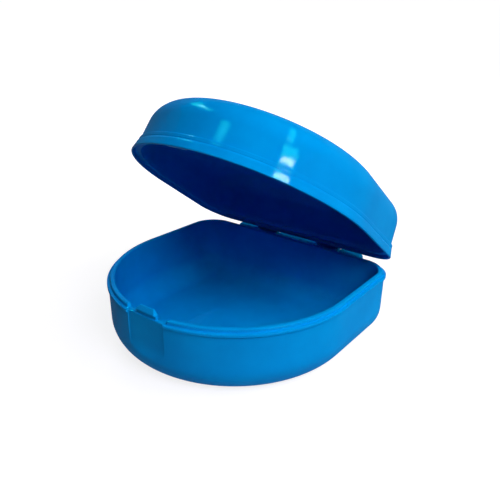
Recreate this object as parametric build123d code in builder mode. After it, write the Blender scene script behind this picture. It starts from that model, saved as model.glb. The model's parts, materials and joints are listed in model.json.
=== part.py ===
from build123d import *
import os
from math import cos, radians, sin, tan

# Retainer case: a shallow tray with a round front and a domed lid, both moulded in one plastic,
# joined along the straight back edge by a barrel hinge on a steel pin and held shut by a snap
# hook at the front. Millimetres, +Z up. The origin is on the flat underside, at the centre of
# the round front. The hook faces -Y and the hinge lies along X behind the back edge. The lid
# is drawn shut and then turned open about the hinge.

# Plan outline of both rims: a half round front, sides that lean in a little, a straight back
front_radius = 40.0
side_lean = 0.8
back_edge = 33.0
back_corner_radius = 9.9

# Tray shell: one radius rounds its upright back corners and its foot
tray_height = 20.6
wall_setback = 0.38
tray_draft = 0.75
tray_round = 9.4
floor_thickness = 1.7
bowl_corner_radius = 7.4
bowl_bevel = 5.2

# Tray rim: a thin flange with a ledge on top, and a lip that rises inside the ledge. The flange
# is fuller than the lid at the back corners.
flange_corner_radius = 9.4
flange_thickness = 0.95
ledge_width = 1.0
lip_thickness = 1.45
lip_height = 1.1
edge_chamfer = 0.2

# Thumb recess in the front wall, and the gap in the lip above it
recess_width = 13.2
recess_depth = 1.25
recess_side_angle = 40.0
recess_drop = 11.5
recess_runout_radius = 6.0
lip_gap_width = 15.2

# Snap hook on the tray wall, and the lid's catch that goes under it
hook_setback = 0.3
hook_width = 7.5
hook_top_width = 5.1
hook_reach = 0.45
hook_stem = 1.0
hook_top_land = 0.5
hook_root_depth = 1.2
hook_nose_height = 1.2
hook_nose_edge = 0.2
hook_height = 2.6
catch_width = 6.8
catch_clearance = 0.2
catch_thickness = 0.75
hook_pocket_clearance = 0.5

# Lid: a band that widens down to the rim and a drafted dome, with one radius for the dome's
# upright back corners and its crown
lid_height = 18.4
rim_gap = 0.1
band_height = 4.05
band_slope = 12.5
dome_setback = 1.0
lid_draft = 3.2
lid_round = 8.7
crown_thickness = 1.5
dome_corner_radius = 7.2
dome_bevel = 4.6
skirt_thickness = 0.7
pocket_wall = 0.95
lip_side_clearance = 0.25
lip_top_clearance = 0.2

# Barrel hinge behind the back edge
hinge_setback = 2.3
hinge_drop = 1.35
hinge_length = 51.6
end_knuckle = 8.0
lid_knuckle = 9.0
knuckle_gap = 0.4
knuckle_radius = 1.95
knuckle_chamfer = 0.3
knuckle_seat = 0.8
tray_web_height = 6.4
lid_web_height = 3.4
pin_radius = 0.8
pin_chamfer = 0.2
pin_end_recess = 0.4
pin_running_clearance = 0.06

# Angle between the rims as the lid stands open
open_angle = 35.9

os.makedirs("parts", exist_ok=True)

# Places worked out from the sizes above
hinge_y = back_edge + hinge_setback
hinge_z = tray_height - hinge_drop
rim_z = tray_height + rim_gap
bowl_inset = ledge_width + lip_thickness
lid_inset = bowl_inset + lip_side_clearance
rebate_height = lip_height - rim_gap + lip_top_clearance
pocket_height = hook_height - rim_gap + lip_top_clearance
recess_panel = front_radius - recess_depth
hook_front = recess_panel - hook_setback
catch_depth = front_radius - skirt_thickness / 2 - hook_front - catch_clearance
center_knuckle = hinge_length - 2 * (end_knuckle + lid_knuckle) - 4 * knuckle_gap
knuckle_pitch = (center_knuckle + lid_knuckle) / 2 + knuckle_gap
end_pitch = hinge_length / 2 - end_knuckle / 2
tray_knuckles = [(-end_pitch, end_knuckle), (0, center_knuckle), (end_pitch, end_knuckle)]
tray_web = [
    (back_edge - knuckle_seat, tray_height),
    (hinge_y - knuckle_radius, tray_height),
    (hinge_y, hinge_z),
    (hinge_y, hinge_z - knuckle_radius),
    (back_edge - knuckle_seat, tray_height - tray_web_height),
]
lid_web = [
    (back_edge - knuckle_seat, rim_z + edge_chamfer),
    (hinge_y - knuckle_radius, rim_z + edge_chamfer),
    (hinge_y, hinge_z),
    (hinge_y, hinge_z + knuckle_radius),
    (back_edge - knuckle_seat, rim_z + lid_web_height),
]
turned_open = (
    Location((0, hinge_y, hinge_z), (-open_angle, 0, 0)) * Location((0, -hinge_y, -hinge_z))
)


def plan_face(inset, corner=0.0):
    """The plan outline drawn inside the rim by inset, its back corners round or sharp."""
    radius = front_radius - inset
    back = back_edge - inset
    lean = radians(side_lean)
    back_x = (radius - back * sin(lean)) / cos(lean)
    with BuildSketch(mode=Mode.PRIVATE) as plan:
        with BuildLine():
            front = CenterArc((0, 0), radius, 180 - side_lean, 180 + 2 * side_lean)
            Polyline(front @ 1, (back_x, back), (-back_x, back), front @ 0)
        make_face()
        if corner:
            fillet(plan.vertices().group_by(Axis.Y)[-1], corner)
    return plan.sketch


def drafted_block(face, start, height, angle):
    """A block on a plan face, with walls that lean in by angle from its start plane.

    Height and angle are negative for a block that hangs down from its start.
    """
    with BuildPart(mode=Mode.PRIVATE) as block:
        with BuildSketch(Plane.XY.offset(start)):
            add(face)
        extrude(amount=height)
        draft(block.faces().filter_by(Axis.Z, reverse=True), Plane.XY.offset(start), angle)
    return block.part


def corner_edges(block):
    """The two upright edges at the back corners of a block with a sharp outline."""
    uprights = block.edges() - block.faces().filter_by(Axis.Z).edges()
    return uprights.group_by(Axis.Y)[-1]


def web_face(outline):
    """The end view of the web that joins a hinge knuckle to a wall."""
    with BuildSketch(mode=Mode.PRIVATE) as end_view:
        with BuildLine():
            Polyline(*outline, close=True)
        make_face()
    return end_view.sketch


def barrel(length):
    """A hinge knuckle's barrel with chamfered ends, along Z from its middle."""
    with BuildPart(mode=Mode.PRIVATE) as knuckle:
        Cylinder(knuckle_radius, length)
        chamfer(knuckle.edges().filter_by(GeomType.CIRCLE), knuckle_chamfer)
    return knuckle.part


# Tray hollow: the bowl, bevelled round its floor
with BuildPart() as bowl:
    bowl_top = tray_height + lip_height
    bowl_face = plan_face(bowl_inset, bowl_corner_radius)
    add(drafted_block(bowl_face, bowl_top, floor_thickness - bowl_top, -tray_draft))
    chamfer(bowl.faces().sort_by(Axis.Z)[0].edges(), bowl_bevel)

# Cutter of the thumb recess: an upright panel that runs out into the wall below
with BuildPart() as recess:
    reach = recess_depth + recess_runout_radius
    with BuildSketch(Plane.XY.offset(tray_height - recess_drop)):
        with Locations((0, -recess_panel - reach)):
            Trapezoid(
                recess_width + 2 * reach * tan(radians(recess_side_angle)),
                reach,
                90 - recess_side_angle,
                align=(Align.CENTER, Align.MIN),
            )
    extrude(amount=recess_drop + lip_height)
    panel_foot = recess.faces().sort_by(Axis.Z)[0].edges().sort_by(Axis.Y)[-1]
    fillet(panel_foot, recess_runout_radius)

# Snap hook: a stem with a nose, narrower towards its top
with BuildPart() as hook:
    root_z = tray_height - hook_root_depth
    nose_z = tray_height + hook_nose_height
    nose_y = -hook_front - hook_reach
    stem_back = -hook_front + hook_stem
    top_z = tray_height + hook_height
    with BuildSketch(Plane.YZ.offset(-hook_width / 2)):
        with BuildLine():
            Polyline(
                (stem_back, root_z),
                (-hook_front, root_z),
                (-hook_front, nose_z - hook_nose_edge),
                (nose_y, nose_z),
                (nose_y, nose_z + hook_nose_edge),
                (stem_back - hook_top_land, top_z),
                (stem_back, top_z),
                close=True,
            )
        make_face()
    extrude(amount=hook_width)
    with BuildSketch(Plane.XZ.offset(-stem_back)):
        with BuildLine():
            Polyline(
                (-hook_width / 2, root_z),
                (hook_width / 2, root_z),
                (hook_width / 2, nose_z),
                (hook_top_width / 2, top_z),
                (-hook_top_width / 2, top_z),
                (-hook_width / 2, nose_z),
                close=True,
            )
        make_face()
    extrude(amount=hook_stem + hook_reach, mode=Mode.INTERSECT)

# Tray: shell, flange, lip, thumb recess, hook and three hinge knuckles
with BuildPart() as tray:
    add(drafted_block(plan_face(wall_setback), tray_height, -tray_height, -tray_draft))
    fillet(tray.faces().sort_by(Axis.Z)[0].edges() + corner_edges(tray), tray_round)
    with BuildSketch(Plane.XY.offset(tray_height - flange_thickness)):
        add(plan_face(0, flange_corner_radius))
    extrude(amount=flange_thickness)
    chamfer(tray.faces().sort_by(Axis.Z)[-1].edges(), edge_chamfer)
    with BuildSketch(Plane.XY.offset(tray_height)):
        add(plan_face(ledge_width, back_corner_radius - ledge_width))
    extrude(amount=lip_height)
    chamfer(tray.faces().sort_by(Axis.Z)[-1].edges(), edge_chamfer)
    add(bowl.part, mode=Mode.SUBTRACT)
    chamfer(tray.faces().sort_by(Axis.Z)[-1].inner_wires()[0].edges(), edge_chamfer)
    for x, length in tray_knuckles:
        with BuildSketch(Plane.YZ.offset(x - length / 2)):
            add(web_face(tray_web))
        extrude(amount=length)
        with Locations(Location((x, hinge_y, hinge_z), (0, 90, 0))):
            add(barrel(length))
    with BuildSketch(Plane.XY.offset(tray_height)):
        Rectangle(lip_gap_width, front_radius, align=(Align.CENTER, Align.MAX))
    extrude(amount=lip_height, mode=Mode.SUBTRACT)
    add(recess.part, mode=Mode.SUBTRACT)
    add(hook.part)
    with Locations(Location((0, hinge_y, hinge_z), (0, 90, 0))):
        Hole(pin_radius)

tray.part.label = "tray"
export_step(tray.part, "parts/tray.step")

# Lid hollow: the inside of the dome, bevelled round its crown
with BuildPart() as dome:
    dome_face = plan_face(lid_inset, dome_corner_radius)
    add(drafted_block(dome_face, rim_z, lid_height - crown_thickness, lid_draft))
    chamfer(dome.faces().sort_by(Axis.Z)[-1].edges(), dome_bevel)

# Lid, drawn shut: dome, band, rebate for the tray's lip, hook pocket, catch and knuckles. The
# rebate's outer wall leans with the band.
with BuildPart() as shut_lid:
    add(drafted_block(plan_face(dome_setback), rim_z, lid_height, lid_draft))
    fillet(shut_lid.faces().sort_by(Axis.Z)[-1].edges() + corner_edges(shut_lid), lid_round)
    with BuildSketch(Plane.XY.offset(rim_z)):
        add(plan_face(0, back_corner_radius))
    extrude(amount=band_height, taper=band_slope)
    chamfer(shut_lid.faces().sort_by(Axis.Z)[0].edges(), edge_chamfer)
    add(dome.part, mode=Mode.SUBTRACT)
    with BuildSketch(Plane.XY.offset(rim_z)):
        add(plan_face(skirt_thickness, back_corner_radius - skirt_thickness))
    extrude(amount=rebate_height, taper=band_slope, mode=Mode.SUBTRACT)
    with BuildSketch(Plane.XY.offset(rim_z)):
        with Locations((0, -front_radius + pocket_wall)):
            Rectangle(
                hook_width + 2 * hook_pocket_clearance,
                lid_inset - pocket_wall + hook_pocket_clearance,
                align=(Align.CENTER, Align.MIN),
            )
    extrude(amount=pocket_height, mode=Mode.SUBTRACT)
    with BuildSketch(Plane.XY.offset(rim_z)):
        with Locations((0, -hook_front - catch_clearance)):
            Rectangle(catch_width, catch_depth, align=(Align.CENTER, Align.MAX))
    extrude(amount=catch_thickness)
    for x in (-knuckle_pitch, knuckle_pitch):
        with BuildSketch(Plane.YZ.offset(x - lid_knuckle / 2)):
            add(web_face(lid_web))
        extrude(amount=lid_knuckle)
        with Locations(Location((x, hinge_y, hinge_z), (0, 90, 0))):
            add(barrel(lid_knuckle))
    with Locations(Location((0, hinge_y, hinge_z), (0, 90, 0))):
        Hole(pin_radius + pin_running_clearance)

# Lid as it stands, open
with BuildPart() as lid:
    with Locations(turned_open):
        add(shut_lid.part)

lid.part.label = "lid"
export_step(lid.part, "parts/lid.step")

# Hinge pin: a plain rod with chamfered ends
with BuildPart() as hinge_pin:
    with BuildSketch(Plane.YZ.offset(-hinge_length / 2 + pin_end_recess)):
        with Locations((hinge_y, hinge_z)):
            Circle(pin_radius)
    extrude(amount=hinge_length - 2 * pin_end_recess)
    chamfer(hinge_pin.edges().filter_by(GeomType.CIRCLE), pin_chamfer)

hinge_pin.part.label = "hinge_pin"
export_step(hinge_pin.part, "parts/hinge_pin.step")
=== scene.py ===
"""Retainer case: a shallow tray and a domed lid in one blue plastic, joined by a barrel hinge."""

import json
from math import asin, atan2, cos, pi, radians, sin, sqrt, tan

import bmesh
import bpy
import numpy as np
from bpy.props import FloatProperty, FloatVectorProperty, IntProperty, PointerProperty
from mathutils import Matrix, Vector


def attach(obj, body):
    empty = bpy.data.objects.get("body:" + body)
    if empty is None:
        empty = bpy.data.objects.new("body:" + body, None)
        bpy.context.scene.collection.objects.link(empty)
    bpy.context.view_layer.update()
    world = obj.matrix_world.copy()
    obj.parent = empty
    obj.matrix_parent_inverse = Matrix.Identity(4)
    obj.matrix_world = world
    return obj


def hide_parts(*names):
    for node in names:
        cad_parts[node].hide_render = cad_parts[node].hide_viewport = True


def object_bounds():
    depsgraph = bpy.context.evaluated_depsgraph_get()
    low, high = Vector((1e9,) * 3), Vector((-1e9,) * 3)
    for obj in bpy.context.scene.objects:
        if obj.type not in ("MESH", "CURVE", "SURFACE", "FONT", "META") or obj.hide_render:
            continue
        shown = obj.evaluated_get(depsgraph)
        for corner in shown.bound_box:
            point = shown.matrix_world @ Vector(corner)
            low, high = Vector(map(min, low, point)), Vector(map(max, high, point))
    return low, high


bl_info = {
    "name": "Retainer Case",
    "version": (1, 0, 0),
    "blender": (4, 5, 0),
    "location": "3D View > Sidebar > Retainer Case",
    "description": "Builds the tray, lid, hook, hinge knuckles and studio of a retainer case",
    "category": "Add Mesh",
}

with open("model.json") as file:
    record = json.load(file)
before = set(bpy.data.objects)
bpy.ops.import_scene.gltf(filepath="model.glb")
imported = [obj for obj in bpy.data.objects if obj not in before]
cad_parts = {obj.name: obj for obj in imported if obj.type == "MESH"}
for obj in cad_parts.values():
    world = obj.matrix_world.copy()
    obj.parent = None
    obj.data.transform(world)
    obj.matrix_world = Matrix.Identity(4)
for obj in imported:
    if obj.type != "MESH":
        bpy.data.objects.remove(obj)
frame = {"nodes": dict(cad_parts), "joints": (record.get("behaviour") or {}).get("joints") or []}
cad_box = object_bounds()
lid_joint = frame["joints"][0]

MM = 0.001

# Steps between points along the outline: front arc, leaning side, back corner, half of the back
ARC_STEPS = 130
SIDE_STEPS = 26
CORNER_STEPS = 26
BACK_STEPS = 30
FILLET_STEPS = 20
CAP_SCALES = (0.985, 0.88, 0.7, 0.5, 0.3, 0.12)

# Studio floor, in metres
FLOOR_RADIUS = 1.2
SWEEP_RADIUS = 0.8
WALL_HEIGHT = 1.4

# Softboxes: name, azimuth and elevation of the direction in degrees, radiance, tint
SOFTBOX_EDGE = 0.25
SOFTBOXES = (
    ("front_softbox", -52.0, 45.0, 3.9, (1.0, 1.0, 0.8)),
    ("key_softbox", -20.0, 40.0, 11.3, (0.95, 0.93, 1.0)),
    ("fill_softbox", 10.0, 40.0, 3.4, (1.0, 1.0, 0.9)),
    ("side_softbox", 30.0, 40.0, 6.8, (1.0, 1.0, 0.6)),
    ("back_softbox", 150.0, 25.0, 5.5, (1.0, 1.0, 1.0)),
)
# Gloss cards, seen only in the polish: name, centre, direction of the long side, size, radiance, tint
WINDOW = (0.55, 1.0, 0.9)
SKY = (0.02, 1.0, 0.67)
GLOSS_CARDS = (
    ("window_pane", (0.4649, -0.1503, 0.4479), (0.61, 0.643, -0.463), (0.134, 0.0068), 400.0, WINDOW),
    ("window_top", (0.4609, -0.1424, 0.4563), (0.61, 0.643, -0.463), (0.155, 0.016), 150.0, SKY),
    ("window_sill", (0.4012, -0.0147, 0.5282), (0.623, 0.603, -0.498), (0.145, 0.0066), 400.0, WINDOW),
    ("ceiling_strip", (0.272, 0.152, 0.5943), (-0.591, 0.806, 0.04), (0.7, 0.048), 112.0, SKY),
    ("left_pane", (-0.376, 0.0673, 0.5345), (0.449, -0.807, 0.385), (0.14, 0.035), 130.0, (0.3, 1.0, 1.0)),
    ("left_pane_blur", (-0.388, 0.0873, 0.5249), (0.449, -0.807, 0.385), (0.36, 0.08), 70.0, SKY),
    ("front_pane", (-0.0957, -0.3242, 0.574), (0.978, -0.186, 0.093), (0.04, 0.024), 110.0, (0.02, 1.0, 1.0)),
    ("front_pane_edge", (-0.0957, -0.3242, 0.574), (0.978, -0.186, 0.093), (0.075, 0.034), 90.0, SKY),
    ("front_pane_blur", (-0.0957, -0.3242, 0.574), (0.978, -0.186, 0.093), (0.11, 0.044), 50.0, SKY),
)

# Where the lid's wall meets its band: a small ledge, a bead and a fine groove under it, in millimetres
# from the wall and from the ledge, inwards and upwards
BAND_TOP = (
    (0.0, 0.18), (-0.01, 0.09), (-0.05, 0.04), (-0.12, 0.03), (-0.18, 0.03),
    (-0.257, 0.015), (-0.321, -0.029), (-0.365, -0.093), (-0.38, -0.17), (-0.41, -0.6), (-0.43, -0.85),
    (-0.433, -0.93), (-0.42, -1.01), (-0.395, -1.07), (-0.385, -1.13), (-0.4, -1.21), (-0.44, -1.32),
)


def length(name, description, default):
    """A size property in metres."""
    return FloatProperty(
        name=name, description=description, default=default, unit="LENGTH", subtype="DISTANCE", precision=5
    )


def angle(name, description, default):
    """An angle property, its default in degrees."""
    return FloatProperty(
        name=name, description=description, default=radians(default), unit="ROTATION", subtype="ANGLE"
    )


def factor(name, description, default):
    """A plain number property."""
    return FloatProperty(name=name, description=description, default=default, min=0.0)


def colour(name, description, default):
    """A colour property."""
    return FloatVectorProperty(
        name=name, description=description, default=default, size=3, subtype="COLOR", min=0.0, max=1.0
    )


class RimSettings(bpy.types.PropertyGroup):
    """Plan outline that both shells share."""

    front_radius: length("Front Radius", "Radius of the half round front", cad_box[1][0])
    side_lean: angle("Side Lean", "How far the straight sides lean in towards the back", 0.8)
    back_edge: length("Back Edge", "Distance from the front's centre to the back edge", 33.0 * MM)
    corner_radius: length("Corner Radius", "Radius of the back corners at the rim", 9.9 * MM)


class TraySettings(bpy.types.PropertyGroup):
    """Sizes of the tray."""

    height: length("Height", "Height of the flange's ledge above the table", 20.6 * MM)
    wall_setback: length("Wall Setback", "How far the flange stands out from the wall", 0.38 * MM)
    draft: angle("Draft", "Lean of the moulded walls", 0.75)
    foot_radius: length("Foot Radius", "Rounding between wall and underside", 9.4 * MM)
    floor_thickness: length("Floor Thickness", "Thickness of the floor", 1.7 * MM)
    bowl_radius: length("Bowl Radius", "Rounding between the inner wall and the floor", 7.2 * MM)
    bowl_corner: length("Bowl Corner", "Radius of the inner back corners", 7.4 * MM)
    flange_corner: length("Flange Corner", "Radius of the flange's back corners", 9.4 * MM)
    flange_thickness: length("Flange Thickness", "Thickness of the flange", 0.95 * MM)
    ledge_width: length("Ledge Width", "Width of the ledge outside the lip", 1.0 * MM)
    lip_thickness: length("Lip Thickness", "Thickness of the raised lip", 1.45 * MM)
    lip_height: length("Lip Height", "Height of the lip above the ledge", 1.1 * MM)
    lip_round: length("Lip Round", "Rounding of the lip's top edges", 0.35 * MM)
    edge_round: length("Edge Round", "Rounding of the flange's edges", 0.22 * MM)
    recess_width: length("Recess Width", "Width of the thumb recess at its panel", 13.2 * MM)
    recess_depth: length("Recess Depth", "Depth of the thumb recess from the rim", 1.25 * MM)
    recess_side: angle("Recess Side", "Slope of the recess's side faces", 40.0)
    recess_drop: length("Recess Drop", "How far the recess's flat panel reaches below the ledge", 8.1 * MM)
    recess_runout: length("Recess Runout", "Radius with which the panel runs out into the wall", 12.0 * MM)
    gap_width: length("Lip Gap", "Width of the gap in the lip above the recess", 15.2 * MM)


class HookSettings(bpy.types.PropertyGroup):
    """Sizes of the snap hook."""

    setback: length("Setback", "Distance of the hook's stem behind the recess panel", 0.3 * MM)
    width: length("Width", "Width of the hook's stem", 7.5 * MM)
    top_width: length("Top Width", "Width of the hook at its top", 5.1 * MM)
    reach: length("Reach", "How far the nose stands out from the stem", 0.45 * MM)
    stem: length("Stem", "Thickness of the stem", 1.0 * MM)
    land: length("Top Land", "Depth of the flat on top", 0.5 * MM)
    root: length("Root", "How far the stem runs down the wall", 1.2 * MM)
    nose: length("Nose", "Height of the nose above the ledge", 1.2 * MM)
    nose_edge: length("Nose Edge", "Height of the nose's blunt edge", 0.2 * MM)
    height: length("Height", "Height of the hook above the ledge", 2.6 * MM)
    edge_round: length("Edge Round", "Rounding of the hook's edges", 0.12 * MM)


class LidSettings(bpy.types.PropertyGroup):
    """Sizes of the lid, measured up from its rim as it lies shut."""

    rim_height: length("Rim Height", "Height of the shut lid's rim above the table", 20.7 * MM)
    height: length("Height", "Height of the crown above the rim", 18.4 * MM)
    setback: length("Setback", "How far the dome's wall stands inside the rim", 1.01 * MM)
    draft: angle("Draft", "Lean of the dome's wall", 3.2)
    crown_radius: length("Crown Radius", "Rounding between the wall and the crown", 8.7 * MM)
    crown_thickness: length("Crown Thickness", "Thickness of the crown", 1.5 * MM)
    band_height: length("Band Height", "Height of the band above the rim", 4.05 * MM)
    band_slope: angle("Band Slope", "How much the band widens down to the rim", 12.5)
    skirt_thickness: length("Skirt Thickness", "Thickness of the rim outside the rebate", 0.7 * MM)
    wall_inset: length("Wall Inset", "Depth of the rebate from the rim's outside", 2.7 * MM)
    rebate_height: length("Rebate Height", "Height of the rebate that takes the lip", 1.2 * MM)
    hollow_radius: length("Hollow Radius", "Rounding inside the crown", 7.2 * MM)
    pocket_width: length("Pocket Width", "Width of the pocket over the hook", 8.5 * MM)
    pocket_wall: length("Pocket Wall", "Depth of the pocket's wall from the rim's outside", 0.95 * MM)
    pocket_height: length("Pocket Height", "Height of the pocket over the hook", 2.7 * MM)
    catch_width: length("Catch Width", "Width of the catch", 6.8 * MM)
    catch_inset: length("Catch Inset", "How far the catch reaches in from the rim's outside", 1.35 * MM)
    catch_thickness: length("Catch Thickness", "Thickness of the catch", 0.75 * MM)
    edge_round: length("Edge Round", "Rounding of the rim's edges", 0.22 * MM)


class HingeSettings(bpy.types.PropertyGroup):
    """Sizes of the barrel hinge. Its place comes from the frame's joint."""

    axis_y: length("Axis Y", "Distance of the pin behind the front's centre", lid_joint["pos_m"][1])
    axis_z: length("Axis Z", "Height of the pin above the table", lid_joint["pos_m"][2])
    opening: angle("Opening", "Angle between the rims as the lid stands open", -lid_joint["range_deg"][0])
    hinge_length: length("Length", "Length over all knuckles", 51.6 * MM)
    end_knuckle: length("End Knuckle", "Length of the tray's end knuckles", 8.0 * MM)
    center_knuckle: length("Center Knuckle", "Length of the tray's middle knuckle", 16.0 * MM)
    lid_knuckle: length("Lid Knuckle", "Length of the lid's knuckles", 9.0 * MM)
    gap: length("Gap", "Gap between knuckles", 0.4 * MM)
    radius: length("Radius", "Radius of the barrel", 1.95 * MM)
    pin_radius: length("Pin Radius", "Radius of the pin", 0.8 * MM)
    running_clearance: length("Running Clearance", "Gap between the pin and the lid's knuckles", 0.06 * MM)
    edge_round: length("Edge Round", "Rounding of the knuckles' ends", 0.3 * MM)
    seat: length("Seat", "How far the webs reach into the wall", 0.8 * MM)
    tray_web: length("Tray Web", "Height of the tray's webs", 6.4 * MM)
    lid_web: length("Lid Web", "Height of the lid's webs", 3.4 * MM)


class PlasticSettings(bpy.types.PropertyGroup):
    """Finish of the moulded plastic and of the pin."""

    blue: colour("Blue", "Colour of the plastic", (0.0, 0.27, 0.76))
    deep_blue: colour("Deep Blue", "Colour where the pigment lies denser", (0.0, 0.225, 0.68))
    outside_roughness: factor("Outside Roughness", "Roughness of the polished outside", 0.5)
    inside_roughness: factor("Inside Roughness", "Roughness of the softer inside", 0.55)
    steel: colour("Steel", "Colour of the pin", (0.62, 0.63, 0.64))


class StudioSettings(bpy.types.PropertyGroup):
    """Camera and light."""

    azimuth: angle("Azimuth", "Camera's angle round the case from straight in front", 37.58)
    elevation: angle("Elevation", "Camera's angle above the horizon", 22.55)
    roll: angle("Roll", "Camera's roll", 0.57)
    distance: length("Distance", "Distance from the camera to its target", 185.0 * MM)
    focal: FloatProperty(name="Focal Length", description="Focal length on a 36 mm sensor", default=41.758)
    target_right: length("Target Right", "Target's offset to the right in the view", 4.57 * MM)
    target_up: length("Target Up", "Target's offset upwards in the view", 6.98 * MM)
    target_height: length("Target Height", "Height of the target's base point", 20.0 * MM)
    ambient: factor("Ambient", "Strength of the surrounding light", 0.02)


GROUPS = {
    "case_rim": RimSettings,
    "case_tray": TraySettings,
    "case_hook": HookSettings,
    "case_lid": LidSettings,
    "case_hinge": HingeSettings,
    "case_plastic": PlasticSettings,
    "case_studio": StudioSettings,
}


def smooth_max(a, b, width):
    """The larger of two values, with a rounded change from one to the other."""
    blend = np.maximum(width - np.abs(a - b), 0.0) / width
    return np.maximum(a, b) + blend * blend * width / 4


def smooth_min(a, b, width):
    """The smaller of two values, with a rounded change from one to the other."""
    return -smooth_max(-a, -b, width)


def both_sides(places):
    """Places right of the middle, mirrored to the left, in order."""
    places = np.asarray(places)
    return np.concatenate([-places[places > 0][::-1], places])


def ring(rim, inset, corner, height, columns):
    """One closed row of points along the outline drawn inside the rim by inset.

    It runs counterclockwise seen from above and starts with the columns across the front, whose
    x places are the same in every row.
    """
    radius = rim.front_radius - inset
    back = rim.back_edge - inset
    lean = rim.side_lean
    corner_y = back - corner
    corner_x = (radius - corner - corner_y * sin(lean)) / cos(lean)
    front = np.column_stack([columns, -np.sqrt(radius**2 - columns**2)])
    turn = np.linspace(asin(columns[-1] / radius), pi / 2 + lean, ARC_STEPS + 1)[1:]
    arc = np.column_stack([radius * np.sin(turn), -radius * np.cos(turn)])
    bend = np.linspace(lean, pi / 2, CORNER_STEPS + 1)
    corner_arc = np.column_stack([corner_x + corner * np.cos(bend), corner_y + corner * np.sin(bend)])
    share = np.linspace(0, 1, SIDE_STEPS + 1)[1:-1, None]
    side = arc[-1] * (1 - share) + corner_arc[0] * share
    run = np.linspace(corner_x, 0, BACK_STEPS + 1)[1:]
    back_run = np.column_stack([run, np.full(len(run), back)])
    right = np.concatenate([arc, side, corner_arc, back_run])
    left = right[:-1][::-1] * (-1, 1)
    plan = np.concatenate([front, right, left])
    return np.column_stack([plan, np.full(len(plan), height)])


def cap_rows(row, height):
    """Rows of a flat cap at a height that shrink to its middle, from inside the edge row on."""
    edge = row.copy()
    edge[:, 2] = height
    middle = edge.mean(axis=0)
    middle[1] = (row[:, 1].min() + row[:, 1].max()) / 2
    return [middle + (edge - middle) * scale for scale in CAP_SCALES]


def skin(name, rows, materials, inner_row):
    """A closed mesh over rows of points, its ends capped, faces from inner_row on in the second material."""
    count = len(rows[0])
    verts = np.concatenate(rows)
    faces = []
    for row in range(len(rows) - 1):
        low = row * count
        for step in range(count):
            after = (step + 1) % count
            faces.append((low + step, low + after, low + count + after, low + count + step))
    last = (len(rows) - 1) * count
    faces.append(tuple(range(count))[::-1])
    faces.append(tuple(range(last, last + count)))
    mesh = bpy.data.meshes.new(name)
    mesh.from_pydata([tuple(v) for v in verts], [], faces)
    for material in materials:
        mesh.materials.append(material)
    indices = [int(i // count >= inner_row) for i in range(len(faces))]
    indices[-2] = 0
    indices[-1] = 1
    mesh.polygons.foreach_set("material_index", indices)
    mesh.shade_smooth()
    mesh.validate()
    return place(name, mesh)


def place(name, mesh):
    """A mesh linked to the scene as an object at the origin."""
    piece = bpy.data.objects.new(name, mesh)
    bpy.context.scene.collection.objects.link(piece)
    return piece


def arc_points(inset, height, radius, first, last, steps):
    """Points of a profile's arc as (inset, height, distance from the centre line); angles in degrees."""
    turn = np.radians(np.linspace(first, last, steps + 1))
    return [(inset - radius * cos(a), height + radius * sin(a), radius * cos(a)) for a in turn]


def recess_surface(rim, tray, x, z):
    """How far towards the back the thumb recess cuts the front wall, as y at each x and height z."""
    panel = tray.recess_depth - rim.front_radius
    below = np.clip(tray.height - tray.recess_drop - z, 0.0, tray.recess_runout)
    foot = panel - (tray.recess_runout - np.sqrt(tray.recess_runout**2 - below**2))
    side = panel - np.maximum(np.abs(x) - tray.recess_width / 2, 0.0) / tan(tray.recess_side)
    return smooth_min(foot, side, 0.12 * MM)


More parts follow.
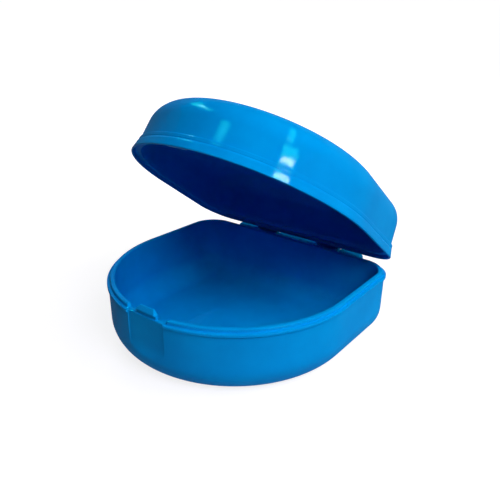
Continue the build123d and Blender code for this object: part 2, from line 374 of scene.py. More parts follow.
def tray_rows(rim, tray):
    """Rows of the tray from its underside up the outside, over the lip and down to the floor."""
    gap = tray.gap_width / 2
    ends = gap + np.array([0.0, 0.02, 0.06, 0.12, 0.2, 0.3, 0.45, 0.65, 0.9]) * MM
    columns = both_sides(
        np.concatenate([np.arange(0, 6.3, 0.3), np.arange(6.3, 7.55, 0.06)]) * MM
    )
    columns = np.concatenate([-ends[::-1], columns, ends])
    front = slice(0, len(columns))
    lip_share = np.interp(np.abs(columns), ends[:6], [0.0, 0.72, 0.87, 0.95, 0.985, 1.0])
    lean = tan(tray.draft)
    foot_z = tray.foot_radius
    foot_inset = tray.wall_setback + (tray.height - foot_z) * lean + foot_z / cos(tray.draft)
    rows = []

    def wall_inset(z):
        return tray.wall_setback + (tray.height - z) * lean

    def cut_recess(row):
        cut = recess_surface(rim, tray, row[front, 0], row[0, 2])
        row[front, 1] = smooth_max(row[front, 1], cut, 0.1 * MM)

    # Underside and foot
    for inset, z, corner in arc_points(
        foot_inset, foot_z, foot_z, -88.0, -np.degrees(tray.draft), FILLET_STEPS
    ):
        row = ring(rim, inset, corner, z, columns)
        if z > foot_z / 2:
            cut_recess(row)
        rows.append(row)
    rows = cap_rows(rows[0], 0.0)[::-1] + rows

    # Wall with the thumb recess
    under = tray.height - tray.flange_thickness
    for z in np.linspace(foot_z + 0.3 * MM, under - 0.18 * MM, 24):
        row = ring(rim, wall_inset(z), tray.foot_radius, z, columns)
        cut_recess(row)
        rows.append(row)
    wall_front = rows[-1][front, 1].copy()
    outer = ring(rim, 0.0, tray.flange_corner, tray.height, columns)
    cut_recess(outer)
    edge_front = outer[front, 1]

    # Underside of the flange and its outer face
    for share, z in ((0.04, -0.1), (0.2, -0.03), (0.5, 0.0), (0.8, 0.02), (0.94, 0.06), (0.99, 0.12), (1.0, 0.2)):
        inset = wall_inset(under) * (1 - share)
        corner = tray.foot_radius * (1 - share) + tray.flange_corner * share
        row = ring(rim, inset, corner, under + z * MM, columns)
        row[front, 1] = wall_front * (1 - share) + edge_front * share
        rows.append(row)

    # Ledge and lip; across the gap the same rows lie flat and end in a rounded inner edge
    bowl_inset = tray.ledge_width + tray.lip_thickness
    top = tray.height + tray.lip_height
    edge = tray.edge_round
    lip = tray.lip_round
    ledge = [(edge - edge * cos(a), tray.height - edge + edge * sin(a)) for a in np.linspace(0, pi / 2, 5)]
    lip_side = [
        (tray.ledge_width * 0.6, tray.height),
        (tray.ledge_width - 0.08 * MM, tray.height),
        (tray.ledge_width - 0.023 * MM, tray.height + 0.023 * MM),
        (tray.ledge_width, tray.height + 0.08 * MM),
    ]
    outer_turn = [
        (tray.ledge_width + lip - lip * cos(a), top - lip + lip * sin(a)) for a in np.linspace(0, pi / 2, 5)
    ]
    inner_turn = [(bowl_inset - lip + lip * sin(a), top - lip + lip * cos(a)) for a in np.linspace(0, pi / 2, 6)]
    profile = ledge + lip_side + outer_turn + inner_turn
    bowl_front = -np.sqrt((rim.front_radius - bowl_inset) ** 2 - columns**2)
    spread = np.linspace(0, 1, len(lip_side) + len(outer_turn) + 2)[1:-1]
    for order, (inset, z) in enumerate(profile):
        fuller = (tray.flange_corner - rim.corner_radius) * max(0.0, 1 - inset / (0.6 * tray.ledge_width))
        row = ring(rim, inset, rim.corner_radius - inset + fuller, z, columns)
        if order < len(ledge):
            flat_y = edge_front + inset
            flat_z = z
        elif order < len(ledge) + len(spread):
            share = spread[order - len(ledge)]
            flat_y = (edge_front + edge) * (1 - share) + (bowl_front - lip) * share
            flat_z = tray.height
        else:
            flat_y = bowl_front + inset - bowl_inset
            flat_z = z - tray.lip_height
        row[front, 1] = flat_y * (1 - lip_share) + row[front, 1] * lip_share
        row[front, 2] = flat_z * (1 - lip_share) + z * lip_share
        rows.append(row)
    inner_row = len(rows) - len(inner_turn)

    # Bowl: wall, rounded foot and floor
    floor = tray.floor_thickness
    bend = tray.bowl_radius
    bend_z = floor + bend
    corner = tray.bowl_corner
    for z in np.linspace(tray.height - lip - 0.15 * MM, bend_z + 0.3 * MM, 10):
        rows.append(ring(rim, bowl_inset + (top - z) * lean, corner, z, columns))
    bend_inset = bowl_inset + (top - bend_z) * lean + bend / cos(tray.draft)
    for inset, z, distance in arc_points(bend_inset, bend_z, bend, -np.degrees(tray.draft), -88.0, FILLET_STEPS):
        rows.append(ring(rim, inset, corner - bend + distance, z, columns))
    rows += cap_rows(rows[-1], floor)
    return rows, inner_row


def lid_rows(rim, lid):
    """Rows of the shut lid from inside its crown, down the hollow, round the rim and up to the crown."""
    catch = lid.catch_width / 2
    pocket = lid.pocket_width / 2
    near = np.array([-0.12, -0.05, -0.01, 0.01, 0.05, 0.12]) * MM
    columns = np.concatenate(
        [np.arange(0, catch - 0.2 * MM, 0.3 * MM), catch + near, [(catch + pocket) / 2], pocket + near, pocket + np.array([0.3, 0.6]) * MM]
    )
    columns = both_sides(columns)
    front = slice(0, len(columns))
    across = np.abs(columns)
    catch_share = (across < catch).astype(float)
    pocket_share = (across < pocket).astype(float)
    lean = tan(lid.draft)
    base = lid.rim_height
    rows = []

    def section(inset, height, corner, share=None, other=(0.0, 0.0), flat=1.0):
        """Adds a row; where share is 1 it goes through the other inset and height instead.

        There it is straight across where flat is 1 and follows the round front where flat is 0.
        """
        row = ring(rim, inset, corner, base + height, columns)
        if share is not None:
            other_radius = rim.front_radius - other[0]
            other_y = -other_radius * flat - np.sqrt(other_radius**2 - columns**2) * (1 - flat)
            row[front, 1] += (other_y - row[front, 1]) * share
            row[front, 2] += (other[1] - height) * share
        rows.append(row)

    # Outside: crown, wall, flare, band
    crown = lid.crown_radius
    crown_z = lid.height - crown
    crown_inset = lid.setback + crown_z * lean + crown / cos(lid.draft)
    for inset, z, distance in arc_points(crown_inset, crown_z, crown, 88.0, np.degrees(lid.draft), FILLET_STEPS + 6):
        section(inset, z, distance)
    rows[:0] = cap_rows(rows[0], base + lid.height)[::-1]
    for z in np.linspace(crown_z, lid.band_height + 0.5 * MM, 9):
        section(lid.setback + z * lean, z, crown)
    band = tan(lid.band_slope)
    top_inset = lid.setback + lid.band_height * lean
    for inset, z in BAND_TOP:
        section(top_inset + inset * MM, lid.band_height + z * MM, rim.corner_radius - top_inset)
    low, high = lid.edge_round + 0.1 * MM, lid.band_height - 1.45 * MM
    for z in np.linspace(high, low, 5):
        section(z * band, z, rim.corner_radius - z * band)
    edge = lid.edge_round
    for a in np.linspace(0, pi / 2, 5):
        inset = edge * (band + 1 - cos(a))
        section(inset, edge - edge * sin(a), rim.corner_radius - inset)
    outside_rows = len(rows)

    # Rim's underside, catch, skirt, rebate and hook pocket
    skirt = lid.skirt_thickness
    step = 0.1 * MM
    inner = lid.catch_inset
    thick = lid.catch_thickness
    wall = lid.pocket_wall
    for inset, z, catch_inset, catch_z in (
        (skirt - step, 0.0, inner - step, 0.0),
        (skirt - 0.03 * MM, 0.03 * MM, inner - 0.03 * MM, 0.03 * MM),
        (skirt + step * band, step, inner, step),
        (skirt + 0.3 * MM * band, 0.3 * MM, inner, thick - step),
        (skirt + 0.4 * MM * band, 0.4 * MM, inner - 0.03 * MM, thick - 0.03 * MM),
        (skirt + 0.5 * MM * band, 0.5 * MM, inner - step, thick),
        (skirt + 0.7 * MM * band, 0.7 * MM, wall + step, thick),
    ):
        section(inset, z, rim.corner_radius - inset, catch_share, (catch_inset, catch_z))
    section(skirt + 0.8 * MM * band, 0.8 * MM, rim.corner_radius - skirt, pocket_share, (wall, thick + step))
    rebate_inset = skirt + lid.rebate_height * band
    for inset, z, flat in (
        (rebate_inset, -step, 1.0),
        (rebate_inset + 0.03 * MM, -0.03 * MM, 1.0),
        (rebate_inset + step, 0.0, 1.0),
        (rebate_inset + 0.9 * MM, 0.0, 0.5),
        (lid.wall_inset - step, 0.0, 0.0),
        (lid.wall_inset - 0.01 * MM, 0.03 * MM, 0.0),
        (lid.wall_inset + 0.05 * MM, 0.12 * MM, 0.0),
    ):
        corner = rim.corner_radius - inset
        section(inset, lid.rebate_height + z, corner, pocket_share, (inset, lid.pocket_height + z), flat)

    # Hollow: wall, rounding and ceiling
    hollow = lid.hollow_radius
    hollow_z = lid.height - lid.crown_thickness - hollow
    corner = rim.corner_radius - lid.wall_inset
    for z in np.linspace(lid.pocket_height + 0.3 * MM, hollow_z - 0.3 * MM, 8):
        section(lid.wall_inset + z * lean, z, corner)
    hollow_inset = lid.wall_inset + hollow_z * lean + hollow / cos(lid.draft)
    for inset, z, distance in arc_points(hollow_inset, hollow_z, hollow, np.degrees(lid.draft), 88.0, FILLET_STEPS):
        section(inset, z, corner - hollow + distance)
    rows += cap_rows(rows[-1], base + lid.height - lid.crown_thickness)
    inner_row = len(rows) - outside_rows
    return rows, outside_rows


def opened(points, hinge):
    """Points of the shut lid, turned open about the hinge."""
    c, s = cos(-hinge.opening), sin(-hinge.opening)
    y = points[:, 1] - hinge.axis_y
    z = points[:, 2] - hinge.axis_z
    return np.column_stack([points[:, 0], hinge.axis_y + y * c - z * s, hinge.axis_z + y * s + z * c])


def bevelled(name, bm, width, material):
    """A bmesh made an object, with its sharp edges rounded and its faces smooth."""
    bmesh.ops.recalc_face_normals(bm, faces=bm.faces[:])
    sharp = [e for e in bm.edges if len(e.link_faces) == 2 and e.calc_face_angle() > radians(15)]
    bmesh.ops.bevel(bm, geom=sharp, offset=width, segments=4, profile=0.5, affect="EDGES")
    mesh = bpy.data.meshes.new(name)
    bm.to_mesh(mesh)
    bm.free()
    mesh.materials.append(material)
    mesh.shade_smooth()
    modifier_free = place(name, mesh)
    return modifier_free


def node(tree, kind, **settings):
    """A node of a tree with its properties set."""
    made = tree.nodes.new(kind)
    for key, value in settings.items():
        setattr(made, key, value)
    return made


def link(tree, source, target):
    tree.links.new(source, target)


def math_node(tree, operation, first, second):
    """A math node; each input is a socket or a number."""
    made = node(tree, "ShaderNodeMath", operation=operation)
    for socket, value in zip(made.inputs, (first, second)):
        if isinstance(value, bpy.types.NodeSocket):
            link(tree, value, socket)
        else:
            socket.default_value = value
    return made.outputs[0]


def moulded_surface():
    """Shader group: cloudy pigment, faint flow lines, fine grain and handling scuffs of moulded plastic."""
    name = "moulded_surface"
    if name in bpy.data.node_groups:
        return bpy.data.node_groups[name]
    tree = bpy.data.node_groups.new(name, "ShaderNodeTree")
    face = tree.interface
    for label, kind, default in (
        ("Colour", "NodeSocketColor", (0.0, 0.27, 0.75, 1.0)),
        ("Dense Colour", "NodeSocketColor", (0.0, 0.22, 0.68, 1.0)),
        ("Roughness", "NodeSocketFloat", 0.2),
        ("Scuffs", "NodeSocketFloat", 0.1),
        ("Grain", "NodeSocketFloat", 0.05),
        ("Waviness", "NodeSocketFloat", 0.1),
    ):
        face.new_socket(label, in_out="INPUT", socket_type=kind).default_value = default
    face.new_socket("Colour", in_out="OUTPUT", socket_type="NodeSocketColor")
    face.new_socket("Roughness", in_out="OUTPUT", socket_type="NodeSocketFloat")
    face.new_socket("Normal", in_out="OUTPUT", socket_type="NodeSocketVector")
    given = node(tree, "NodeGroupInput")
    result = node(tree, "NodeGroupOutput")
    place_of = node(tree, "ShaderNodeTexCoord").outputs["Object"]

    def noise(scale, detail, rough=0.5, stretch=None):
        texture = node(tree, "ShaderNodeTexNoise")
        texture.inputs["Scale"].default_value = scale
        texture.inputs["Detail"].default_value = detail
        texture.inputs["Roughness"].default_value = rough
        if stretch:
            mapping = node(tree, "ShaderNodeMapping")
            mapping.inputs["Scale"].default_value = stretch
            link(tree, place_of, mapping.inputs["Vector"])
            link(tree, mapping.outputs["Vector"], texture.inputs["Vector"])
        else:
            link(tree, place_of, texture.inputs["Vector"])
        return texture.outputs["Fac"]

    cloud = node(tree, "ShaderNodeMapRange")
    cloud.inputs["From Min"].default_value = 0.35
    cloud.inputs["From Max"].default_value = 0.7
    link(tree, noise(70.0, 3.0), cloud.inputs["Value"])
    tint = node(tree, "ShaderNodeMix", data_type="RGBA")
    link(tree, cloud.outputs["Result"], tint.inputs["Factor"])
    link(tree, given.outputs["Colour"], tint.inputs["A"])
    link(tree, given.outputs["Dense Colour"], tint.inputs["B"])
    link(tree, tint.outputs["Result"], result.inputs["Colour"])

    scuff = node(tree, "ShaderNodeMapRange")
    scuff.inputs["From Min"].default_value = 0.55
    scuff.inputs["From Max"].default_value = 0.8
    link(tree, noise(900.0, 4.0, 0.65, (1.0, 0.15, 0.5)), scuff.inputs["Value"])
    patches = node(tree, "ShaderNodeMapRange")
    patches.inputs["From Min"].default_value = 0.45
    patches.inputs["From Max"].default_value = 0.65
    link(tree, noise(45.0, 2.0), patches.inputs["Value"])
    worn = math_node(tree, "MULTIPLY", scuff.outputs["Result"], patches.outputs["Result"])
    worn = math_node(tree, "MULTIPLY", worn, given.outputs["Scuffs"])
    mottled = math_node(tree, "MULTIPLY", noise(260.0, 3.0), 0.04)
    rough = math_node(tree, "ADD", given.outputs["Roughness"], worn)
    rough = math_node(tree, "ADD", rough, mottled)
    link(tree, rough, result.inputs["Roughness"])

    grain = node(tree, "ShaderNodeBump")
    grain.inputs["Distance"].default_value = 0.00002
    link(tree, given.outputs["Grain"], grain.inputs["Strength"])
    link(tree, noise(2600.0, 2.0), grain.inputs["Height"])
    wave = node(tree, "ShaderNodeBump")
    wave.inputs["Distance"].default_value = 0.0004
    link(tree, given.outputs["Waviness"], wave.inputs["Strength"])
    link(tree, noise(85.0, 1.0), wave.inputs["Height"])
    link(tree, grain.outputs["Normal"], wave.inputs["Normal"])
    link(tree, wave.outputs["Normal"], result.inputs["Normal"])
    return tree


def plastic(name, roughness, coat, scuffs, grain, painted_shade=1.0):
    """Blue plastic with a given polish, its colour times a factor below 1 that paints shade into it."""
    if name in bpy.data.materials:
        return bpy.data.materials[name]
    settings = bpy.context.scene.case_plastic
    material = bpy.data.materials.new(name)
    material.use_nodes = True
    tree = material.node_tree
    shader = tree.nodes["Principled BSDF"]
    group = node(tree, "ShaderNodeGroup", node_tree=moulded_surface())
    # Painted shade: both colours are darkened by the factor passed in.
    group.inputs["Colour"].default_value = (*(painted_shade * c for c in settings.blue), 1.0)
    group.inputs["Dense Colour"].default_value = (*(painted_shade * c for c in settings.deep_blue), 1.0)
    group.inputs["Roughness"].default_value = roughness
    group.inputs["Scuffs"].default_value = scuffs
    group.inputs["Grain"].default_value = grain
    group.inputs["Waviness"].default_value = 0.12
    link(tree, group.outputs["Colour"], shader.inputs["Base Color"])
    link(tree, group.outputs["Roughness"], shader.inputs["Roughness"])
    link(tree, group.outputs["Normal"], shader.inputs["Normal"])
    shader.inputs["IOR"].default_value = 1.49
    shader.inputs["Specular IOR Level"].default_value = 0.0
    shader.inputs["Coat Weight"].default_value = coat
    shader.inputs["Coat Roughness"].default_value = 0.03
    shader.inputs["Specular Tint"].default_value = (0.05, 0.95, 1.0, 1.0)
    return material


def outside_plastic():
    return plastic("case_plastic_polished", bpy.context.scene.case_plastic.outside_roughness, 0.04, 0.14, 0.05)


def inside_plastic():
    # Inside colour times 0.93 is painted shade: a darker copy of the same blue for the inside of both shells.
    return plastic("case_plastic_soft", bpy.context.scene.case_plastic.inside_roughness, 0.02, 0.1, 0.15, 0.93)


def hinge_plastic():
    return plastic("case_plastic_hinge", bpy.context.scene.case_plastic.inside_roughness, 0.0, 0.1, 0.05)


def drawn_steel():
    """Steel rod with fine lines along X from drawing."""
    material = bpy.data.materials.new("pin_steel_drawn")
    material.use_nodes = True
    tree = material.node_tree
    shader = tree.nodes["Principled BSDF"]
    place_of = node(tree, "ShaderNodeTexCoord").outputs["Object"]
    mapping = node(tree, "ShaderNodeMapping")
    mapping.inputs["Scale"].default_value = (0.04, 1.0, 1.0)
    link(tree, place_of, mapping.inputs["Vector"])
    lines = node(tree, "ShaderNodeTexNoise")
    lines.inputs["Scale"].default_value = 4000.0
    lines.inputs["Detail"].default_value = 3.0
    link(tree, mapping.outputs["Vector"], lines.inputs["Vector"])
    polish = node(tree, "ShaderNodeMapRange")
    polish.inputs["To Min"].default_value = 0.22
    polish.inputs["To Max"].default_value = 0.42
    link(tree, lines.outputs["Fac"], polish.inputs["Value"])
    link(tree, polish.outputs["Result"], shader.inputs["Roughness"])
    tint = node(tree, "ShaderNodeMix", data_type="RGBA")
    link(tree, lines.outputs["Fac"], tint.inputs["Factor"])
    steel = bpy.context.scene.case_plastic.steel
    tint.inputs["A"].default_value = (*steel, 1.0)
    tint.inputs["B"].default_value = (*(0.8 * c for c in steel), 1.0)
    link(tree, tint.outputs["Result"], shader.inputs["Base Color"])
    shader.inputs["Metallic"].default_value = 1.0
    bump = node(tree, "ShaderNodeBump")
    bump.inputs["Distance"].default_value = 0.000005
    bump.inputs["Strength"].default_value = 0.4
    link(tree, lines.outputs["Fac"], bump.inputs["Height"])
    link(tree, bump.outputs["Normal"], shader.inputs["Normal"])
    return material


def knuckle_tree():
    """Geometry Nodes tree: a row of hinge knuckles along X, each a bored barrel with rounded ends."""
    name = "hinge_knuckle_row"
    if name in bpy.data.node_groups:
        return bpy.data.node_groups[name]
    tree = bpy.data.node_groups.new(name, "GeometryNodeTree")
    face = tree.interface
    for label, kind, default in (
        ("Knuckles", "NodeSocketInt", 2),
        ("Pitch", "NodeSocketFloat", 25.8 * MM),
        ("Length", "NodeSocketFloat", 9.0 * MM),
        ("Radius", "NodeSocketFloat", 1.95 * MM),
        ("Bore", "NodeSocketFloat", 0.8 * MM),
        ("Edge Round", "NodeSocketFloat", 0.3 * MM),
        ("Axis Y", "NodeSocketFloat", 35.3 * MM),
        ("Axis Z", "NodeSocketFloat", 19.25 * MM),
    ):
        face.new_socket(label, in_out="INPUT", socket_type=kind).default_value = default
    face.new_socket("Material", in_out="INPUT", socket_type="NodeSocketMaterial")
    face.new_socket("Geometry", in_out="OUTPUT", socket_type="NodeSocketGeometry")
    given = node(tree, "NodeGroupInput").outputs
    result = node(tree, "NodeGroupOutput")

    middle = math_node(tree, "MULTIPLY", math_node(tree, "ADD", given["Radius"], given["Bore"]), 0.5)
    depth = math_node(tree, "SUBTRACT", given["Radius"], given["Bore"])
    circle = node(tree, "GeometryNodeCurvePrimitiveCircle")
    circle.inputs["Resolution"].default_value = 72
    link(tree, middle, circle.inputs["Radius"])
    section = node(tree, "GeometryNodeCurvePrimitiveQuadrilateral")
    link(tree, depth, section.inputs["Width"])
    link(tree, given["Length"], section.inputs["Height"])
    rounded = node(tree, "GeometryNodeFilletCurve", mode="POLY")
    rounded.inputs["Count"].default_value = 5
    rounded.inputs["Limit Radius"].default_value = True
    link(tree, section.outputs["Curve"], rounded.inputs["Curve"])
    link(tree, given["Edge Round"], rounded.inputs["Radius"])
    barrel = node(tree, "GeometryNodeCurveToMesh")
    link(tree, circle.outputs["Curve"], barrel.inputs["Curve"])
    link(tree, rounded.outputs["Curve"], barrel.inputs["Profile Curve"])

    count_less = math_node(tree, "SUBTRACT", given["Knuckles"], 1.0)
    start_x = math_node(tree, "MULTIPLY", math_node(tree, "MULTIPLY", count_less, given["Pitch"]), -0.5)
    start = node(tree, "ShaderNodeCombineXYZ")
    link(tree, start_x, start.inputs["X"])
    link(tree, given["Axis Y"], start.inputs["Y"])
    link(tree, given["Axis Z"], start.inputs["Z"])
    step = node(tree, "ShaderNodeCombineXYZ")
    link(tree, given["Pitch"], step.inputs["X"])
    points = node(tree, "GeometryNodeMeshLine")
    link(tree, given["Knuckles"], points.inputs["Count"])
    link(tree, start.outputs["Vector"], points.inputs["Start Location"])
    link(tree, step.outputs["Vector"], points.inputs["Offset"])
    stand = node(tree, "GeometryNodeInstanceOnPoints")
    stand.inputs["Rotation"].default_value = (0.0, pi / 2, 0.0)
    link(tree, points.outputs["Mesh"], stand.inputs["Points"])
    link(tree, barrel.outputs["Mesh"], stand.inputs["Instance"])
    real = node(tree, "GeometryNodeRealizeInstances")
    link(tree, stand.outputs["Instances"], real.inputs["Geometry"])
    smooth = node(tree, "GeometryNodeSetShadeSmooth")
    link(tree, real.outputs["Geometry"], smooth.inputs["Geometry"])
    finish = node(tree, "GeometryNodeSetMaterial")
    link(tree, smooth.outputs["Geometry"], finish.inputs["Geometry"])
    link(tree, given["Material"], finish.inputs["Material"])
    link(tree, finish.outputs["Geometry"], result.inputs["Geometry"])
    return tree


def knuckle_row(name, count, pitch, span, bore, hinge):
    """A row of equal knuckles, made by the knuckle tree and kept as a plain mesh."""
    tree = knuckle_tree()
    maker = place(name, bpy.data.meshes.new(name))
    modifier = maker.modifiers.new("knuckles", "NODES")
    modifier.node_group = tree
    values = {
        "Knuckles": count,
        "Pitch": pitch,
        "Length": span,
        "Radius": hinge.radius,
        "Bore": bore,
        "Edge Round": hinge.edge_round,
        "Axis Y": hinge.axis_y,
        "Axis Z": hinge.axis_z,
        "Material": hinge_plastic(),
    }
    for item in tree.interface.items_tree:
        if item.in_out == "INPUT":
            modifier[item.identifier] = values[item.name]
    bpy.context.view_layer.update()
    depsgraph = bpy.context.evaluated_depsgraph_get()
    mesh = bpy.data.meshes.new_from_object(maker.evaluated_get(depsgraph))
    maker.modifiers.remove(modifier)
    maker.data = mesh
    mesh.name = name
    return maker


def web(name, outline, spans, hinge):
    """Webs between the wall and the barrel: one end view, extruded over each span of x."""
    bm = bmesh.new()
    for low, high in spans:
        first = [bm.verts.new((low, y, z)) for y, z in outline]
        second = [bm.verts.new((high, y, z)) for y, z in outline]
        bm.faces.new(first)
        bm.faces.new(second[::-1])
        for i in range(len(outline)):
            j = (i + 1) % len(outline)
            bm.faces.new((first[i], second[i], second[j], first[j]))
    return bevelled(name, bm, hinge.edge_round, hinge_plastic())


def turned_mesh(piece, hinge):
    """Turns a piece drawn with the lid shut to where the open lid stands."""
    pivot = Vector((0.0, hinge.axis_y, hinge.axis_z))
    turn = Matrix.Translation(pivot) @ Matrix.Rotation(-hinge.opening, 4, "X") @ Matrix.Translation(-pivot)
    piece.data.transform(turn)


class CASE_OT_tray(bpy.types.Operator):
    """Builds the tray: shell, flange, ledge, lip, thumb recess and bowl"""

    bl_idname = "case.tray"
    bl_label = "Build Tray"

    def execute(self, context):
        scene = context.scene
        rows, inner = tray_rows(scene.case_rim, scene.case_tray)
        piece = skin("tray_shell", rows, (outside_plastic(), inside_plastic()), inner)
        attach(piece, "tray")
        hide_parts("tray")
        return {"FINISHED"}


class CASE_OT_hook(bpy.types.Operator):
    """Builds the snap hook in the thumb recess"""

    bl_idname = "case.hook"
    bl_label = "Build Snap Hook"

    def execute(self, context):
        scene = context.scene
        hook, tray = scene.case_hook, scene.case_tray
        face_y = tray.recess_depth + hook.setback - scene.case_rim.front_radius
        back_y = face_y + hook.stem
        root_z = tray.height - hook.root
        nose_z = tray.height + hook.nose
        top_z = tray.height + hook.height
        half, top_half = hook.width / 2, hook.top_width / 2
        lower = [
            (half, back_y, root_z),
            (half, face_y, root_z),
            (half, face_y, nose_z - hook.nose_edge),
            (half, face_y - hook.reach, nose_z),
            (half, back_y, nose_z),
        ]
        slope = (half - top_half) / (hook.height - hook.nose)
        upper = [
            lower[3],
            (half - slope * hook.nose_edge, face_y - hook.reach, nose_z + hook.nose_edge),
            (top_half, back_y - hook.land, top_z),
            (top_half, back_y, top_z),
            lower[4],
        ]
        bm = bmesh.new()
        verts = {}

        def vert(point):
            if point not in verts:
                verts[point] = bm.verts.new(point)
            return verts[point]

        rim_points = lower[:4] + upper[1:4] + [lower[4]]
        for side in (1, -1):
            for polygon in (lower, upper):
                bm.faces.new([vert((side * x, y, z)) for x, y, z in polygon][::side])
        for i, (x, y, z) in enumerate(rim_points):
            nx, ny, nz = rim_points[(i + 1) % len(rim_points)]
            bm.faces.new([vert((x, y, z)), vert((-x, y, z)), vert((-nx, ny, nz)), vert((nx, ny, nz))])
        piece = bevelled("snap_hook", bm, hook.edge_round, outside_plastic())
        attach(piece, "tray")
        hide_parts("tray")
        return {"FINISHED"}


class CASE_OT_lid(bpy.types.Operator):
    """Builds the lid: dome, bead, band, rebate, hook pocket and catch"""

    bl_idname = "case.lid"
    bl_label = "Build Lid"

    def execute(self, context):
        scene = context.scene
        rows, outside_rows = lid_rows(scene.case_rim, scene.case_lid)
        rows = [opened(row, scene.case_hinge)[::-1] for row in rows]
        piece = skin("lid_shell", rows, (outside_plastic(), inside_plastic()), outside_rows)
        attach(piece, "lid")
        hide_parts("lid")
        return {"FINISHED"}


class CASE_OT_hinge(bpy.types.Operator):
    """Builds the hinge knuckles with their webs and finishes the pin"""

    bl_idname = "case.hinge"
    bl_label = "Build Hinge"

    def execute(self, context):
        scene = context.scene
        hinge, tray, lid = scene.case_hinge, scene.case_tray, scene.case_lid
        end = (hinge.hinge_length - hinge.end_knuckle) / 2
        pitch = (hinge.center_knuckle + hinge.lid_knuckle) / 2 + hinge.gap
        bore = hinge.pin_radius
        loose = bore + hinge.running_clearance
        wall_y = scene.case_rim.back_edge - hinge.seat
        top_y = hinge.axis_y - hinge.radius
        tray_outline = [
            (wall_y, tray.height - 0.3 * MM),
            (top_y, tray.height - 0.3 * MM),
            (hinge.axis_y - 1.0 * MM, hinge.axis_z),
            (hinge.axis_y - 1.0 * MM, hinge.axis_z - 1.2 * MM),
            (hinge.axis_y + 0.2 * MM, hinge.axis_z - hinge.radius + 0.05 * MM),
            (wall_y, tray.height - hinge.tray_web),
        ]
        lid_base = lid.rim_height
        lid_outline = [
            (wall_y, lid_base + 0.3 * MM),
            (top_y, lid_base + 0.3 * MM),
            (hinge.axis_y - 1.0 * MM, hinge.axis_z),
            (hinge.axis_y - 1.0 * MM, hinge.axis_z + 1.2 * MM),
            (hinge.axis_y + 0.2 * MM, hinge.axis_z + hinge.radius - 0.05 * MM),
            (wall_y, lid_base + hinge.lid_web),
        ]
        tray_spans = [
            (-end - hinge.end_knuckle / 2, -end + hinge.end_knuckle / 2),
            (-hinge.center_knuckle / 2, hinge.center_knuckle / 2),
            (end - hinge.end_knuckle / 2, end + hinge.end_knuckle / 2),
        ]
        lid_spans = [(x - hinge.lid_knuckle / 2, x + hinge.lid_knuckle / 2) for x in (-pitch, pitch)]
        tray_pieces = [
            knuckle_row("tray_end_knuckles", 2, 2 * end, hinge.end_knuckle, bore, hinge),
            knuckle_row("tray_center_knuckle", 1, 0.0, hinge.center_knuckle, bore, hinge),
            web("tray_knuckle_webs", tray_outline, tray_spans, hinge),
        ]
        lid_pieces = [
            knuckle_row("lid_knuckles", 2, 2 * pitch, hinge.lid_knuckle, loose, hinge),
            web("lid_knuckle_webs", lid_outline, lid_spans, hinge),
        ]
        for piece in lid_pieces:
            turned_mesh(piece, hinge)
        for body, pieces in (("tray", tray_pieces), ("lid", lid_pieces)):
            for piece in pieces:
                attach(piece, body)
                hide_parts(body)
        pin = frame["nodes"]["hinge_pin"]
        pin.data.materials.clear()
        pin.data.materials.append(drawn_steel())
        return {"FINISHED"}


def lamp(name, position, aim, along, size, radiance, tint=(1.0, 1.0, 1.0)):
    """A rectangular lamp at a position, facing its aim, its long side along a direction."""
    data = bpy.data.lights.new(name, "AREA")
    data.shape = "RECTANGLE"
    data.size, data.size_y = size
    data.energy = radiance * pi * size[0] * size[1]
    data.color = tint
    made = bpy.data.objects.new(name, data)
    bpy.context.scene.collection.objects.link(made)
    away = (Vector(position) - Vector(aim)).normalized()
    side = Vector(along)
    side = (side - away * side.dot(away)).normalized()
    turn = Matrix((side, away.cross(side), away)).transposed()
    made.matrix_world = Matrix.Translation(position) @ turn.to_4x4()
    return made


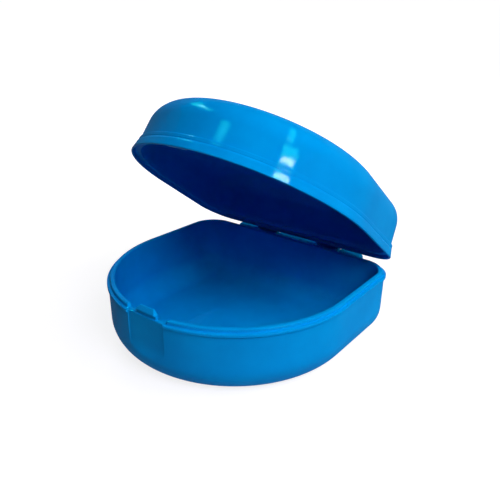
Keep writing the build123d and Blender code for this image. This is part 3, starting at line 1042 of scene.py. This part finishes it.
class CASE_OT_stage(bpy.types.Operator):
    """Builds the pale floor, the soft studio light and the camera"""

    bl_idname = "case.stage"
    bl_label = "Build Stage"

    def execute(self, context):
        scene = context.scene
        studio = scene.case_studio
        self.floor()
        self.surroundings(scene, studio)
        self.lamps()
        self.camera(scene, studio)
        scene.view_settings.view_transform = "Standard"
        return {"FINISHED"}

    def floor(self):
        """A round white floor that sweeps up into a wall all round."""
        turn = np.linspace(0, pi / 2, 17)
        profile = [(r, 0.0) for r in (0.15, 0.4, 0.8)]
        profile += [(FLOOR_RADIUS + SWEEP_RADIUS * sin(a), SWEEP_RADIUS * (1 - cos(a))) for a in turn]
        profile.append((FLOOR_RADIUS + SWEEP_RADIUS, WALL_HEIGHT))
        around = np.linspace(0, 2 * pi, 97)[:-1]
        verts = [(0.0, 0.0, 0.0)] + [(r * cos(a), r * sin(a), z) for r, z in profile for a in around]
        count = len(around)
        faces = [(0, 1 + i, 1 + (i + 1) % count) for i in range(count)]
        for row in range(len(profile) - 1):
            low = 1 + row * count
            for i in range(count):
                j = (i + 1) % count
                faces.append((low + i, low + count + i, low + count + j, low + j))
        mesh = bpy.data.meshes.new("studio_floor")
        mesh.from_pydata(verts, [], faces)
        mesh.shade_smooth()
        floor = place("studio_floor", mesh)
        mesh.materials.append(self.paper())

    def paper(self):
        """White paper: plain and matt for the light, white towards its edge for camera, gloss and glass."""
        material = bpy.data.materials.new("floor_paper")
        material.use_nodes = True
        tree = material.node_tree
        tree.nodes.clear()
        output = node(tree, "ShaderNodeOutputMaterial")
        matt = node(tree, "ShaderNodeBsdfDiffuse")
        seen_matt = node(tree, "ShaderNodeBsdfDiffuse")
        seen_matt.inputs["Color"].default_value = (0.24, 0.24, 0.28, 1.0)
        from_middle = node(tree, "ShaderNodeVectorMath", operation="LENGTH")
        link(tree, node(tree, "ShaderNodeTexCoord").outputs["Object"], from_middle.inputs[0])
        spread = node(tree, "ShaderNodeMapRange", interpolation_type="SMOOTHSTEP")
        spread.inputs["From Min"].default_value = 0.0
        spread.inputs["From Max"].default_value = 0.2
        spread.inputs["To Min"].default_value = 0.8
        spread.inputs["To Max"].default_value = 1.0
        link(tree, from_middle.outputs["Value"], spread.inputs["Value"])
        card = node(tree, "ShaderNodeMapRange", interpolation_type="SMOOTHSTEP")
        card.inputs["From Min"].default_value = 0.05
        card.inputs["From Max"].default_value = 0.13
        card.inputs["To Min"].default_value = 0.55
        card.inputs["To Max"].default_value = 0.06
        link(tree, from_middle.outputs["Value"], card.inputs["Value"])
        link(tree, card.outputs["Result"], matt.inputs["Color"])
        glow = node(tree, "ShaderNodeEmission")
        link(tree, spread.outputs["Result"], glow.inputs["Strength"])
        seen_floor = node(tree, "ShaderNodeAddShader")
        link(tree, seen_matt.outputs[0], seen_floor.inputs[0])
        link(tree, glow.outputs[0], seen_floor.inputs[1])
        path = node(tree, "ShaderNodeLightPath")
        seen = math_node(tree, "MAXIMUM", path.outputs["Is Camera Ray"], path.outputs["Is Glossy Ray"])
        seen = math_node(tree, "MAXIMUM", seen, path.outputs["Is Transmission Ray"])
        mix = node(tree, "ShaderNodeMixShader")
        link(tree, seen, mix.inputs["Fac"])
        link(tree, matt.outputs[0], mix.inputs[1])
        link(tree, seen_floor.outputs[0], mix.inputs[2])
        link(tree, mix.outputs[0], output.inputs["Surface"])
        return material

    def surroundings(self, scene, studio):
        world = bpy.data.worlds.new("studio_world")
        scene.world = world
        world.use_nodes = True
        background = world.node_tree.nodes["Background"]
        background.inputs["Color"].default_value = (1.0, 1.0, 1.0, 1.0)
        background.inputs["Strength"].default_value = studio.ambient

    def lamps(self):
        middle = Vector((0.0, 0.0, 0.03))
        for name, azimuth, elevation, radiance, tint in SOFTBOXES:
            a, e = radians(azimuth), radians(elevation)
            away = Vector((cos(a) * cos(e), sin(a) * cos(e), sin(e)))
            size = (SOFTBOX_EDGE, SOFTBOX_EDGE)
            softbox = lamp(name, middle + away * 0.6, middle, (-sin(a), cos(a), 0.0), size, radiance, tint)
            softbox.visible_glossy = False
        lid_middle = (0.015, -0.015, 0.065)
        for name, centre, along, size, radiance, tint in GLOSS_CARDS:
            lamp(name, centre, lid_middle, along, size, radiance, tint).visible_diffuse = False

    def camera(self, scene, studio):
        a, e = studio.azimuth, studio.elevation
        back = Vector((sin(a) * cos(e), -cos(a) * cos(e), sin(e)))
        right = Vector((0.0, 0.0, 1.0)).cross(back).normalized()
        up = back.cross(right)
        c, s = cos(studio.roll), sin(studio.roll)
        right, up = right * c + up * s, up * c - right * s
        target = Vector((0.0, 0.0, studio.target_height)) + right * studio.target_right + up * studio.target_up
        data = bpy.data.cameras.new("studio_camera")
        data.lens = studio.focal
        data.sensor_width = 36.0
        data.clip_start = 0.01
        made = bpy.data.objects.new("studio_camera", data)
        scene.collection.objects.link(made)
        turn = Matrix((right, up, back)).transposed()
        made.matrix_world = Matrix.Translation(target + back * studio.distance) @ turn.to_4x4()
        scene.camera = made


class CASE_PT_sidebar(bpy.types.Panel):
    """Lists the case's pieces and sizes"""

    bl_idname = "CASE_PT_sidebar"
    bl_label = "Retainer Case"
    bl_space_type = "VIEW_3D"
    bl_region_type = "UI"
    bl_category = "Retainer Case"

    def draw(self, context):
        layout = self.layout
        for operator in OPERATORS:
            layout.operator(operator.bl_idname)
        for name, group in GROUPS.items():
            box = layout.box()
            box.label(text=group.__doc__)
            for key in group.__annotations__:
                box.prop(getattr(context.scene, name), key)


OPERATORS = (CASE_OT_tray, CASE_OT_hook, CASE_OT_lid, CASE_OT_hinge, CASE_OT_stage)
CLASSES = (*GROUPS.values(), *OPERATORS, CASE_PT_sidebar)


def register():
    for cls in CLASSES:
        bpy.utils.register_class(cls)
    for name, group in GROUPS.items():
        setattr(bpy.types.Scene, name, PointerProperty(type=group))


def unregister():
    for name in GROUPS:
        delattr(bpy.types.Scene, name)
    for cls in reversed(CLASSES):
        bpy.utils.unregister_class(cls)


def main():
    """Builds every piece and the stage."""
    register()
    bpy.ops.case.tray()
    bpy.ops.case.hook()
    bpy.ops.case.lid()
    bpy.ops.case.hinge()
    bpy.ops.case.stage()
    bpy.context.view_layer.update()


if __name__ == "__main__":
    main()
